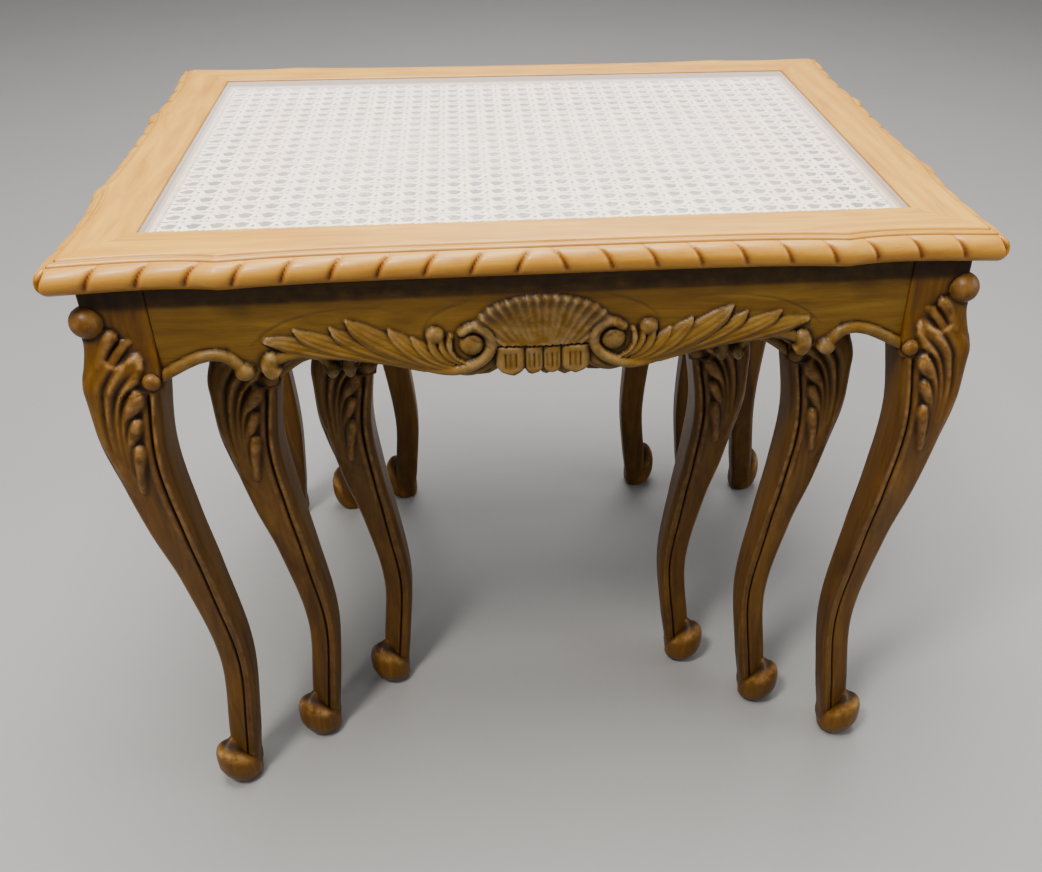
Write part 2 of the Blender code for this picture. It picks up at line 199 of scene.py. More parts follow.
class Wire:
    def __init__(self, graph, socket):
        self.graph = graph
        self.socket = socket

    def math(self, operation, other, clamp=False):
        settings = {"operation": operation, "use_clamp": clamp}
        return self.graph.node("ShaderNodeMath", settings, {0: self, 1: other})

    def __add__(self, other):
        return self.math("ADD", other)

    def __mul__(self, other):
        return self.math("MULTIPLY", other)

    def __pow__(self, other):
        return self.math("POWER", other)

    __radd__ = __add__
    __rmul__ = __mul__

    def clamped(self):
        return self.math("ADD", 0.0, clamp=True)


class Graph:
    def __init__(self, name):
        self.material = bpy.data.materials.new(name)
        self.material.use_nodes = True
        self.tree = self.material.node_tree
        self.shader = self.tree.nodes["Principled BSDF"]

    def node(self, kind, settings=None, values=None, output=0):
        made = self.tree.nodes.new(kind)
        for key, value in (settings or {}).items():
            setattr(made, key, value)
        for key, value in (values or {}).items():
            self.feed(made.inputs[key], value)
        return Wire(self, made.outputs[output])

    def ramp(self, amount, *stops):
        made = self.node("ShaderNodeValToRGB", None, {"Fac": amount})
        elements = made.socket.node.color_ramp.elements
        while len(elements) < len(stops):
            elements.new(0.5)
        for element, (place, colour) in zip(elements, stops):
            element.position = place
            element.color = (*colour, 1.0)
        return made

    def bump(self, strength, distance, height):
        values = {"Strength": strength, "Distance": distance, "Height": height}
        return self.node("ShaderNodeBump", None, values)

    def feed(self, socket, value):
        if isinstance(value, Wire):
            self.tree.links.new(value.socket, socket)
        elif socket.type == "RGBA" and len(value) == 3:
            socket.default_value = (*value, 1.0)
        else:
            socket.default_value = value

    def mark(self, label):
        return self.node("ShaderNodeAttribute", {"attribute_name": label}, output="Fac")

    def mixed(self, amount, first, second):
        settings = {"data_type": "RGBA", "clamp_factor": True}
        return self.node("ShaderNodeMix", settings, {0: amount, 6: first, 7: second}, output=2)

    def spread(self, wire, low, high):
        values = {"Value": wire, "From Min": low, "From Max": high}
        return self.node("ShaderNodeMapRange", {"clamp": True}, values)

    def noise(self, place, scale, detail=3.0, rough=0.55, bend=0.0):
        values = {"Vector": place, "Scale": scale, "Detail": detail, "Roughness": rough, "Distortion": bend}
        return self.node("ShaderNodeTexNoise", None, values)

    def stretched(self, stretch, shift=(0, 0, 0)):
        place = self.node("ShaderNodeTexCoord", output="Object")
        return self.node("ShaderNodeMapping", None, {"Vector": place, "Location": shift, "Scale": stretch})

    def set(self, **values):
        for key, value in values.items():
            self.feed(self.shader.inputs[key.replace("_", " ")], value)


# Wood: stained and lacquered, grain along x, y or z

woodLooks = {
    "topWood": {
        "dark": (0.30, 0.122, 0.008), "middle": (0.425, 0.208, 0.016), "light": (0.51, 0.285, 0.036),
        "shadeGlazeTone": (0.17, 0.050, 0.004), "highlightWearTone": (0.60, 0.35, 0.03), "gloss": 0.32, "coat": 0.10, "shine": 0.34},
    # the apron and leg tones are darker than the top's: partly the wood's own colour, partly painted shade
    # for parts that sit under the top
    "apronWoodShaded": {
        "dark": (0.064, 0.029, 0.0022), "middle": (0.120, 0.060, 0.0045), "light": (0.172, 0.093, 0.009),
        "shadeGlazeTone": (0.013, 0.005, 0.001), "highlightWearTone": (0.27, 0.185, 0.085),
        "gloss": 0.38, "coat": 0.02, "shine": 0.20},
    "legWoodShaded": {
        "dark": (0.040, 0.0145, 0.0010), "middle": (0.096, 0.040, 0.0021), "light": (0.156, 0.072, 0.0044),
        "shadeGlazeTone": (0.009, 0.0032, 0.0007), "highlightWearTone": (0.32, 0.175, 0.058),
        "gloss": 0.36, "coat": 0.02, "shine": 0.20},
}
woodGrain = {
    "alongScale": 7, "acrossScale": 62, "poreAlong": 55, "poreAcross": 1100, "bend": 1.4,
    "streakFiner": 3.2, "blotchScale": 9, "patchScale": 130, "shares": (0.62, 0.22, 0.16),
    "stops": (0.30, 0.50, 0.68), "poreRange": (0.60, 0.72), "poreTint": 0.45, "highlightWearRange": (0.35, 0.75),
    "bump": 0.55, "poreDepth": 0.00012, "carveBump": 0.25, "coatRough": 0.18,
}


def woodMaterial(look, axis):
    tones = woodLooks[look]
    graph = Graph(f"{look}_{axis}")
    k = "xyz".index(axis)
    broad = [woodGrain["acrossScale"]] * 3
    broad[k] = woodGrain["alongScale"]
    fine = [woodGrain["poreAcross"]] * 3
    fine[k] = woodGrain["poreAlong"]
    blotchScale, patchScale = [woodGrain["blotchScale"]] * 3, [woodGrain["patchScale"]] * 3
    bands = graph.noise(graph.stretched(broad), 1.0, 5.0, 0.6, woodGrain["bend"])
    blotch = graph.noise(graph.stretched(blotchScale, (3.1, 1.7, 0.4)), 1.0, 2.0)
    pores = graph.noise(graph.stretched(fine), 1.0, 2.0, 0.7)
    finer = [s * woodGrain["streakFiner"] for s in broad]
    streak = graph.noise(graph.stretched(finer, (0.7, 2.3, 5.1)), 1.0, 3.0)
    bandShare, streakShare, blotchShare = woodGrain["shares"]
    tone = bands * bandShare + streak * streakShare + blotch * blotchShare
    colour = graph.ramp(tone, *zip(woodGrain["stops"], (tones["dark"], tones["middle"], tones["light"])))
    poreMask = graph.spread(pores, *woodGrain["poreRange"])
    colour = graph.mixed(poreMask * woodGrain["poreTint"], colour, tones["dark"])
    # the first mark mixes in a dark tone: glaze in the carving together with painted shade in hollows, under
    # the top, on undersides and towards the feet; the second mixes in a light tone: rubbed wear together with
    # painted highlights
    shadeAndGlaze, highlightAndWear = graph.mark("shadeAndGlaze"), graph.mark("highlightAndWear")
    patch = graph.noise(graph.stretched(patchScale, (1.9, 0.2, 4.4)), 1.0, 3.0)
    highlightWearShare = (highlightAndWear * graph.spread(patch, *woodGrain["highlightWearRange"]) * 0.9).clamped()
    shadeGlazeShare = (shadeAndGlaze * (patch * 0.7 + 0.75)).clamped()
    colour = graph.mixed(highlightWearShare, colour, tones["highlightWearTone"])
    colour = graph.mixed(shadeGlazeShare, colour, tones["shadeGlazeTone"])
    rough = tones["gloss"] + blotch * 0.10 + poreMask * 0.12 + shadeGlazeShare * 0.20
    height = poreMask * -1.0 + bands * 0.6 + patch * woodGrain["carveBump"]
    bump = graph.bump(woodGrain["bump"], woodGrain["poreDepth"], height)
    graph.set(Base_Color=colour, Roughness=rough, Normal=bump, Coat_Weight=tones["coat"],
              Coat_Roughness=woodGrain["coatRough"], Specular_IOR_Level=tones["shine"])
    return graph.material


woods = {}


def wood(look, axis):
    if (look, axis) not in woods:
        woods[look, axis] = woodMaterial(look, axis)
    return woods[look, axis]


def dress(piece, body, slotName, material, *replaced):
    piece.data.materials.clear()
    piece.data.materials.append(material)
    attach(piece, body)
    if replaced:
        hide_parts(*replaced)


# Legs: half of the section is drawn and mirrored over the diagonal, so both outer faces carry the carving

leg = {
    "footInset": 21.5 * mm, "postSize": 40 * mm, "kneeRise": 35 * mm,
    "postTall": 69.6 * mm, "toeTall": 50 * mm, "carvedTall": 96 * mm,
    "stations": (0.050, 0.134, 0.330, 0.560, 0.705, 0.860, 1),    # shares of the knee's height
    "outer": (7, 4.5, -1, 9, 19, 26.5, 27.8),
    "inner": (14.6, 18.8, 24.7, 18.2, 12.8, 9.6, 15.6),
    "grooveAt": ((0, 0.60), (0.1, 0.60), (0.2, 0.61), (0.3, 0.61), (0.46, 0.61), (0.57, 0.67), (0.7, 0.76),
                 (0.85, 0.795), (0.93, 0.825), (1, 0.86)),
    "grooveWidth": 0.85, "grooveDepth": 1.8, "stripRise": 1.1, "fieldRise": 0.7, "filletRise": 0.7,
    "arris": 3.2, "corner": 4.2, "underTopShadow": 0.75, "footShade": 0.36, "grooveDark": 0.8, "ballRingShade": 0.95,
    "ballLight": 0.35, "scrollBall": (2, 48, 10.6), "beadBall": (40.4, 6.5, 5.8),
    "toeRadius": 17.4, "toeSeam": (31.5, 16.5),    # the lip climbs from the faces to the corner
    "toeShape": ((0, 0.42), (0.05, 0.66), (0.13, 0.83), (0.26, 0.95), (0.42, 1), (0.6, 1), (0.74, 0.965),
                 (0.86, 0.87), (0.94, 0.72), (1, 0.48), (1.05, 0)),
    "toeShift": ((0, -1.5), (0.15, 0.6), (0.4, 2.4), (1, 3.2)),
    "solePart": ((0, 0.60), (1.5, 0.76), (4, 0.89), (8, 0.97), (13, 1), (60, 1)),
}

# the leaf over the knee: (across from the outer corner, above the knee) in mm
leafEdge = (
    (8.5, 25.5), (12.5, 22), (16.5, 19.4), (21, 21), (26, 25), (30.4, 26.5), (33.4, 22.5), (34.2, 14),
    (33, 7), (30.4, 4), (32.2, 1.5), (34.2, -3), (33.8, -8), (30, -13.5), (26.4, -17.3), (26.6, -19.4),
    (28.8, -22.6), (28.4, -28), (25.4, -33), (22.3, -37), (22.8, -39.2), (25.4, -43), (25.6, -50),
    (23.4, -57), (20, -66), (15, -80), (10, -93), (7, -93), (2.5, -78), (0.5, -50), (-1, -25), (-1.5, 0),
    (0, 16), (3.5, 23))
leafCuts = (
    ((17, 19.6, 1.3, 1.4), (13, 11, 1.5, 2.2), (9, 0, 1.5, 2.2), (6.4, -14, 1.4, 1.9), (5.2, -30, 1.2, 1.4),
     (4.6, -58, 1, 0.6)),
    ((29.5, 15, 1.3, 0.8), (23, 8, 1.4, 1.9), (16.8, -2, 1.5, 2.3), (12.8, -13, 1.4, 2),
     (10.4, -26, 1.2, 1.6), (8.8, -52, 1, 0.7)),
    ((30.6, 4.6, 1.4, 2), (25, 0.5, 1.5, 2.6), (19.6, -7.5, 1.5, 2.6), (15.8, -19, 1.4, 2.1),
     (13.4, -34, 1.2, 1.5), (11.2, -58, 0.9, 0.6)),
    ((27, -17.3, 1.3, 2.4), (21.8, -19.6, 1.4, 2.6), (18, -28, 1.4, 2.3), (15.2, -43, 1.2, 1.6),
     (12.8, -66, 0.9, 0.6)),
    ((22.8, -38, 1.3, 2.4), (18.6, -40.6, 1.4, 2.5), (15.6, -52, 1.2, 1.9), (12.8, -72, 0.9, 0.7)),
)
leafRibs = (
    ((27, 23.5, 2.2, 4), (21, 15.6, 2.3, 4.4), (15.2, 5.8, 2.2, 4.3), (11.2, -5.5, 2.1, 4),
     (8.6, -17, 1.9, 3.6), (7, -34, 1.6, 3), (6.2, -60, 1.3, 1.9)),
    ((32.2, 16, 2, 4.2), (27, 7.6, 2.3, 4.5), (20.6, -2, 2.2, 4.3), (16.2, -13, 2, 3.9),
     (13.2, -27, 1.8, 3.4), (11, -54, 1.4, 2.2)),
    ((29.4, -2.2, 4.4, 4.9), (27, -6.6, 5.4, 5.4), (22.4, -13.6, 5, 4.9), (18.2, -24, 4.2, 4.2),
     (15.4, -37, 3.2, 3.4), (13.4, -55, 2.2, 2.4)),
    ((24.6, -22.4, 4, 4.8), (22.8, -26.8, 4.8, 5.2), (19.4, -34.5, 4.4, 4.7), (16.6, -45, 3.6, 4),
     (14.4, -58, 2.6, 3), (12.4, -73, 1.8, 1.8)),
    ((21.8, -42.6, 3.8, 4.6), (20.8, -47.4, 4.6, 5), (18.4, -56, 4.2, 4.3), (15.8, -67, 3.2, 3.3),
     (13.2, -80, 2.2, 2)),
)
leafHeads = ((29.4, 0), (24.8, -20), (22, -40), (14.6, 40), (41, 9))
neckLobes = (
    ((4, 43, 8.6, 3.2), (4, 33, 9.2, 3.5), (3.5, 22, 9, 3.3), (3, 8, 7, 2.8), (3, -12, 5, 2.2)),
    ((15, 38.2, 4.6, 4.2), (12.6, 35.5, 5.6, 4.6), (9.2, 29.5, 6, 4.3), (6.4, 21, 6, 3.6)),
    ((24.5, 33.5, 2.6, 1.2), (20.6, 31.5, 4, 2), (16.4, 26.5, 4.6, 2.4), (13, 19, 4.6, 2.6)),
)
neckCut = ((17.4, 33.6, 1.3, 1.5), (14.2, 29.6, 1.3, 1.7), (11.4, 23.6, 1.2, 1.2))


def leafShape(across, up):
    # raised leaf with a lifted rim, cut into lobes
    ring = np.array(leafEdge + leafEdge[:1])
    inside = np.zeros(across.shape, bool)
    gap = np.full(across.shape, far)
    for (x, y), (nextX, nextY) in zip(ring[:-1], ring[1:]):
        runX, runY = nextX - x, nextY - y
        inside ^= ((y > up) != (nextY > up)) & (across < runX * (up - y) / (runY + tiny) + x)
        t = np.clip(((across - x) * runX + (up - y) * runY) / (runX ** 2 + runY ** 2), 0, 1)
        gap = np.minimum(gap, np.hypot(across - x - t * runX, up - y - t * runY))
    tall = 2.7 * ease(up, -95, -30) + 0.3
    rim = 0.7 * np.exp(-((gap - 2.0) / 1.4) ** 2) * ease(up, -60, -10)
    leaf = tall * ease(gap, 0, 1.7) + rim
    for path in leafRibs:
        leaf = carveTube(leaf, across, up, path)
    for path in leafCuts:
        leaf = cutLine(leaf, across, up, path)
    # painted highlight with wear along the leaf's top edge and on the heads of the curls
    leafHighlightWear = inside * np.exp(-((gap - 1.4) / 1.3) ** 2) * ease(up, 12, 19) * ease(across, 5, 10)
    heads = sum(np.exp(-((across - x) ** 2 + (up - y) ** 2) / 9.0) for x, y in leafHeads)
    leafHighlightWear = np.maximum(leafHighlightWear, 0.8 * heads)
    return soften(np.where(inside, leaf, 0.0), 1), leafHighlightWear


def sectionHalf():
    # corner angle or face share for each point from the inner corner to the outer corner
    parts = [("inner", t) for t in np.linspace(225, 180, 3)[:-1]]
    parts += [("side", t) for t in np.linspace(0, 1, 10)[:-1]]
    parts += [("corner", t) for t in np.linspace(180, 90, 5)[:-1]]
    parts += [("front", t) for t in np.linspace(0, 1, 43)[:-1]]
    parts += [("arris", t) for t in np.linspace(90, 45, 4)]
    return parts


def legLevels(kneeTop, top):
    toe = np.arange(0, leg["toeTall"] / mm, 1.0) * mm
    shaft = np.arange(leg["toeTall"], kneeTop - leg["carvedTall"], 5 * mm)
    carved = np.arange(kneeTop - leg["carvedTall"], top - 8 * mm, 1 * mm)
    return np.concatenate([toe, shaft, carved, [top]])


def legPoints(kneeTop, top):
    parts = sectionHalf()
    levels = legLevels(kneeTop, top)
    z = levels / mm
    knee = kneeTop / mm
    rise = leg["kneeRise"] / mm
    inset = leg["footInset"] / mm
    stations = [s * knee for s in leg["stations"]]
    outer = smoothThrough(stations, leg["outer"], np.minimum(z, knee))
    inner = smoothThrough(stations, leg["inner"], np.minimum(z, knee))
    above = z > knee
    outer = np.where(above, inset + (leg["outer"][-1] - inset) * (1 - ease(z, knee, knee + rise)), outer)
    inner = np.where(above, leg["postSize"] / mm - inset, inner)
    half = (outer + inner) / 2
    offset = (outer - inner) / 2
    a = np.zeros((len(parts), len(z)))
    b = np.zeros_like(a)
    na = np.zeros_like(a)
    nb = np.zeros_like(a)
    arris = leg["arris"] - 1.0 * ease(z, knee - 10, knee + 25)
    corner = leg["corner"] - 3.0 * ease(z, knee - 15, knee + 12)
    for j, (kind, t) in enumerate(parts):
        if kind == "side":
            a[j], b[j] = -half, -half + corner + t * (2 * half - 2 * corner)
            na[j], nb[j] = -1, 0
        elif kind == "front":
            a[j], b[j] = -half + corner + t * (2 * half - corner - arris), half
            na[j], nb[j] = 0, 1
        else:
            radius = arris if kind == "arris" else corner
            c, s = math.cos(math.radians(t)), math.sin(math.radians(t))
            centreA = half - radius if kind == "arris" else radius - half
            centreB = radius - half if kind == "inner" else half - radius
            a[j], b[j] = centreA + radius * c, centreB + radius * s
            na[j], nb[j] = c, s
    across = half - a
    share = np.array([1.0 if kind in ("front", "arris") else 0.0 for kind, t in parts])[:, None]
    height = np.broadcast_to(z, a.shape)
    up = height - knee
    relief, leafHighlightWear = leafShape(across, up)
    for path in neckLobes:
        relief = carveTube(relief, across, up, path)
    relief = cutLine(relief, across, up, neckCut)
    # a bead strip along the inner edge, with a groove painted dark with glaze and painted shade, and a fillet
    # beside it
    groove = np.interp(z / knee, *zip(*leg["grooveAt"])) * 2 * half
    alive = ease(z, 22, 30) * (1 - ease(z, knee - 6, knee + 1))
    gap = across - groove
    cut = leg["grooveDepth"] * np.exp(-(gap / leg["grooveWidth"]) ** 2) * alive
    stripMiddle = (groove + 2 * half) / 2
    stripHalf = np.maximum((2 * half - groove) / 2, 1)
    domed = np.sqrt(np.clip(1 - ((across - stripMiddle) / stripHalf) ** 2, 0, 1))
    strip = leg["stripRise"] * domed * (gap > 0) * alive
    bulge = np.sin(np.pi * np.clip(across / np.maximum(groove, 1), 0, 1))
    field = leg["fieldRise"] * bulge * alive * (1 - ease(z, knee - 40, knee - 5))
    fillet = np.exp(-((gap + 3.4) / 1.5) ** 2) * ease(z, knee * 0.55, knee * 0.75)
    field = field + leg["filletRise"] * fillet * alive
    relief = (relief - cut + strip + field * (gap < 0)) * share
    # dark mark: glaze with painted shade in the carving's hollows and the groove, a painted shadow just below
    # the top, painted shade growing towards the foot; light mark: wear with painted highlight
    shadeAndGlaze, highlightAndWear = shadeMarks(relief, 3, 0.9)
    shadeAndGlaze = np.maximum(shadeAndGlaze, leg["grooveDark"] * (cut / leg["grooveDepth"]) * share)
    shadeAndGlaze = np.maximum(shadeAndGlaze, leg["underTopShadow"] * ease(z, top / mm - 17, top / mm - 11))
    shadeAndGlaze = np.maximum(shadeAndGlaze, leg["footShade"] * (1 - ease(z, 40, knee * 0.8)))
    highlightAndWear = np.maximum(highlightAndWear, 1.5 * leafHighlightWear * share)
    a = a + na * relief + offset
    b = b + nb * relief + offset
    # balls pushed out of the surface: the scroll on the post's corner and the bead over the strip; painted
    # shade rings each ball where it meets the surface, and each ball is coloured lighter all over
    scrollIn, scrollUp, scrollRadius = leg["scrollBall"]
    beadIn, beadUp, beadRadius = leg["beadBall"]
    postCorner = half[-1] + offset[-1] - scrollIn
    kneeOut = leg["outer"][-1]
    for centre, radius in (((postCorner, postCorner, knee + scrollUp), scrollRadius),
                           ((kneeOut - beadIn, kneeOut - 1.6, knee + beadUp), beadRadius)):
        away = np.stack([a - centre[0], b - centre[1], height - centre[2]])
        gap = np.sqrt((away ** 2).sum(0)) + tiny
        inside = gap < radius
        ring = np.exp(-((gap - radius) / (0.22 * radius)) ** 2)
        shadeAndGlaze = np.where(inside, 0, np.maximum(shadeAndGlaze, leg["ballRingShade"] * ring))
        highlightAndWear = np.where(inside, leg["ballLight"], highlightAndWear)
        a, b, height = (np.where(inside, c + away[k] * radius / gap, place)
                        for k, (c, place) in enumerate(zip(centre, (a, b, height))))
    # toe: a knob on the outer corner with its lip curled up against the shaft; painted shade runs along the
    # seam, and painted highlight with wear along the top of the lip
    for i in np.nonzero(z < leg["toeTall"] / mm)[0]:
        turn = np.arctan2(b[:, i], a[:, i])
        shaft = np.hypot(a[:, i], b[:, i]) * np.interp(z[i], *zip(*leg["solePart"]))
        facing = np.cos(turn - math.pi / 4)
        seam = leg["toeSeam"][0] + leg["toeSeam"][1] * facing
        climb = z[i] / seam
        radius = leg["toeRadius"] * np.interp(climb, *zip(*leg["toeShape"]))
        shift = np.interp(climb, *zip(*leg["toeShift"]))
        along = math.sqrt(2) * shift * facing
        under = radius ** 2 - 2 * shift ** 2 + along ** 2
        ball = np.where((under > 0) & (radius > 0), along + np.sqrt(np.maximum(under, 0)), 0)
        curl = (shaft + ball + np.sqrt((shaft - ball) ** 2 + 1.0)) / 2
        curl = np.where(ball > 0, curl, shaft)
        seamShade = np.exp(-((climb - 1.0) / 0.045) ** 2) * ease(facing, -0.75, -0.1)
        shadeAndGlaze[:, i] = np.maximum(shadeAndGlaze[:, i] * (shaft > ball), seamShade * 0.85)
        lip = np.exp(-((climb - 0.86) / 0.08) ** 2) * ease(facing, -0.3, 0.4) * (ball > shaft)
        highlightAndWear[:, i] = np.maximum(highlightAndWear[:, i] * (shaft > ball), lip)
        a[:, i], b[:, i] = curl * np.cos(turn), curl * np.sin(turn)
    points = np.stack([a, b, height], -1) * mm
    points[:, 0, 2] = 0.0
    points[:, -1, 2] = top
    return points, shadeAndGlaze, highlightAndWear


def makeLegs(t):
    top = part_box(f"{t}_front_left_leg")[1].z
    half, shadeAndGlaze, highlightAndWear = legPoints(top - leg["postTall"], top)
    loop = np.concatenate([half, half[-2::-1][:, :, [1, 0, 2]]])
    shadeAndGlaze, highlightAndWear = (np.concatenate([mark, mark[-2::-1]]) for mark in (shadeAndGlaze, highlightAndWear))
    reach = leg["outer"][-1] * mm
    for sideX, sideY in ((-1, -1), (1, -1), (-1, 1), (1, 1)):
        place = ("front" if sideY < 0 else "back") + ("_left" if sideX < 0 else "_right")
        node = f"{t}_{place}_leg"
        low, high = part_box(node)
        footX = (high.x - reach) if sideX > 0 else (low.x + reach)
        footY = (high.y - reach) if sideY > 0 else (low.y + reach)
        piece, column, row = newGrid(f"{t}_{place}_cabriole", loop.shape[0] - 1, loop.shape[1] - 1)
        points = loop * (sideX, sideY, 1) + (footX, footY, 0)
        placePoints(piece, column, row, points, {"shadeAndGlaze": shadeAndGlaze, "highlightAndWear": highlightAndWear})
        closeShell(piece)
        dress(piece, f"{t}_table", "leg_wood", wood("legWoodShaded", "z"), node)


for t in tables:
    makeLegs(t)
print("legs carved")


# Top frame: one profile swept along each scalloped rail, with a rope nose and mitred ends

rail = {
    "border": 52 * mm, "tip": 8 * mm, "endDip": 4.6 * mm, "step": 1.4 * mm, "mitreGap": 0.10 * mm,
    "frontDip": 6 * mm, "frontCusp": 0.67, "sideDip": 4 * mm, "sideCusp": 0.40,
    "ropePitch": 29 * mm, "ropeStart": 17 * mm, "ropeLean": 13 * mm, "cutDepth": 2.1 * mm,
    "cutWidth": 1.35 * mm, "swell": 1.3 * mm, "noseMiddle": 12.2 * mm, "noseDeep": 8.4 * mm,
    "noseTall": 8.8 * mm, "noseTurns": (84, -86, 26), "noseDark": 0.14, "noseUnderShade": 0.30,
    "cutDark": 0.80, "crownHighlight": 0.4,
}
# inward from the outer edge, below the top, dark mark (painted shade in the quirk lines), light mark (painted
# highlight on the rounded band)
mouldLine = ((14, 0, 0, 0), (13.4, 0.1, 0, 0), (13, 0.5, 0, 0), (12.8, 1.1, 0.35, 0),
             (12.4, 1.45, 0.62, 0.35), (11.6, 1.35, 0, 0.35), (10.7, 1.45, 0.62, 0.35),
             (9.8, 1.8, 0, 0.35), (9.1, 2.4, 0.3, 0), (8.7, 3.4, 0.85, 0))
# outward from the opening, below the top, dark mark (painted shade): rebates for the glass, cane and spline
pocketLine = ((-11, 21, 0.5), (-11, 7.9, 0.5), (-7.1, 7.9, 0.5), (-7.1, 12.9, 0.5), (-3, 12.9, 0.5),
              (-3, 5.8, 0.5), (0, 5.8, 0.5), (0, 0.7, 0.5), (0.7, 0, 0))


def edgeInset(x, straight, dip, cusp):
    x = np.abs(x)
    tip = rail["tip"]
    toCusp = np.clip(x / (cusp * straight), 0, 1)
    pastCusp = np.clip((x / straight - cusp) / (1 - cusp), 0, 1)
    middle = dip * (1 - toCusp ** 5)
    end = rail["endDip"] * np.sin(np.pi * pastCusp ** 0.72)    # steps back quickly past the cusp
    past = np.clip(x - straight, 0, tip * 0.9999)
    corner = tip - np.sqrt(tip * tip - past * past)
    return np.where(x < cusp * straight, middle, end) * (x <= straight) + corner


def railPoints(halfLength, dip, cusp):
    tip = rail["tip"]
    straight = halfLength - tip
    count = int(2 * straight / rail["step"])
    turns = np.sin(np.linspace(0, np.pi / 4, 7))[1:] * tip
    x = np.concatenate([-(straight + turns[::-1]), np.linspace(-straight, straight, count), straight + turns])
    inset = edgeInset(x, straight, dip, cusp)
    inset[7:-7] = soften(inset[:, None], 2)[7:-7, 0]    # the cusp is worn round
    slope = np.clip(np.gradient(inset, x), -1, 1)
    slope[0], slope[-1] = -1, 1
    long = np.sqrt(1 + slope ** 2)
    inX, inY = -slope / long, 1 / long    # unit vector inward from the edge
    along = np.concatenate([[0], np.cumsum(np.hypot(np.diff(x), np.diff(inset)))])
    along -= along[-1] / 2
    rows = []
    shadeAndGlaze = []
    highlightAndWear = []

    def outerRow(p, drop, dark=0.0, light=0.0):
        turned = np.minimum(p, tip - 0.5 * mm)
        deep = inset + inY * turned + (p - turned)
        end = halfLength - deep    # the mitre line
        run = np.clip(x + inX * turned, -end, end)
        rows.append(np.stack([run, deep, -np.broadcast_to(drop, x.shape)], -1))
        shadeAndGlaze.append(np.broadcast_to(dark, x.shape))
        highlightAndWear.append(np.broadcast_to(light, x.shape))

    def innerRow(out, drop, dark=0.0):
        depth = rail["border"] - out
        end = halfLength - depth
        rows.append(np.stack([x / x[-1] * end, np.full(x.shape, depth), np.full(x.shape, -drop)], -1))
        shadeAndGlaze.append(np.full(x.shape, dark))
        highlightAndWear.append(np.zeros(x.shape))

    def between(first, last, shares):
        for share in shares:
            rows.append(first * (1 - share) + last * share)
            shadeAndGlaze.append(np.zeros(x.shape))
            highlightAndWear.append(np.zeros(x.shape))

    for out, drop, dark in pocketLine:
        innerRow(out * mm, drop * mm, dark)
    pocketTop = rows[-1]
    outerRow(mouldLine[0][0] * mm, 0.0)
    edge = rows.pop()
    shadeAndGlaze.pop()
    highlightAndWear.pop()
    between(pocketTop, edge, (0.3, 0.6, 0.85))
    for p, drop, dark, light in mouldLine:
        outerRow(p * mm, drop * mm, dark, light)
    # the rope: cuts start upright near the bottom and sweep towards the middle; the whole nose gets a slight
    # dark tint, its lower part painted shade, the cuts glaze with painted shade, and the upper crown a
    # painted highlight
    pitch, deep, tall = rail["ropePitch"], rail["noseDeep"], rail["noseTall"]
    first, last, turnCount = rail["noseTurns"]
    for turn in np.linspace(first, last, turnCount):
        c, s = math.cos(math.radians(turn)), math.sin(math.radians(turn))
        up = (turn - last) / (first - last)
        place = np.abs(along) - rail["ropeStart"] + rail["ropeLean"] * max(up - 0.12, 0) ** 1.7
        share = np.mod(place / pitch, 1)
        gap = np.minimum(share, 1 - share) * pitch
        share = np.where(place < -pitch / 2, 0.5, share)
        gap = np.where(place < -pitch / 2, pitch / 2, gap)
        fade = ease(up, 0.16, 0.40) * (1 - ease(up, 0.86, 1.0) * 0.6)
        width = rail["cutWidth"] * (0.55 + 0.75 * math.sin(math.pi * up))
        cut = np.exp(-(gap / width) ** 2) * fade
        swell = rail["swell"] * (1 - (2 * share - 1) ** 2) * fade
        radius = swell - rail["cutDepth"] * cut
        dark = rail["noseDark"] + rail["noseUnderShade"] * (1 - up) ** 0.8 + rail["cutDark"] * cut ** 1.5
        light = rail["crownHighlight"] * fade * (1 - cut) * (10 < turn < 70)
        p = deep + 0.4 * mm - (deep + radius) * c
        outerRow(p, rail["noseMiddle"] - (tall + radius * 0.6) * s, dark, light)
    # painted shade on the rail's underside
    outerRow(10.5 * mm, 21 * mm, 0.4)
    between(rows[-1], rows[0], (0.35, 0.7, 1.0))
    return np.array(rows), np.array(shadeAndGlaze), np.array(highlightAndWear)


def makeRails(t):
    frontLow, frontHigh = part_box(f"{t}_front_rail")
    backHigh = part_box(f"{t}_back_rail")[1]
    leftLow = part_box(f"{t}_left_rail")[0]
    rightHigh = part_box(f"{t}_right_rail")[1]
    top = frontHigh.z
    halfX = (rightHigh.x - leftLow.x) / 2
    halfY = (backHigh.y - frontLow.y) / 2
    middleY = (backHigh.y + frontLow.y) / 2
    for length, deep, dip, cusp, sides, axis in (
            (halfX, halfY, rail["frontDip"], rail["frontCusp"], ("front", "back"), "x"),
            (halfY, halfX, rail["sideDip"], rail["sideCusp"], ("left", "right"), "y")):
        rows, shadeAndGlaze, highlightAndWear = railPoints(length, dip, cusp)
        run = rows[:, :, 0] * (1 - rail["mitreGap"] / length)
        depth = deep - rows[:, :, 1]
        for place in sides:
            sign = -1 if place in ("front", "left") else 1
            if axis == "x":
                points = np.stack([run, middleY + sign * depth, top + rows[:, :, 2]], -1)
            else:
                points = np.stack([sign * depth, middleY + run, top + rows[:, :, 2]], -1)
            piece, column, row = newGrid(f"{t}_{place}_top_rail", rows.shape[0] - 1, rows.shape[1] - 1)
            placePoints(piece, column, row, points, {"shadeAndGlaze": shadeAndGlaze, "highlightAndWear": highlightAndWear})
            closeShell(piece, smooth=42)
            dress(piece, f"{t}_table", "top_wood", wood("topWood", axis), f"{t}_{place}_rail")


for t in tables:
    makeRails(t)
print("top frames made")


# Aprons: a flat sheet of points is carved, then walled and closed behind

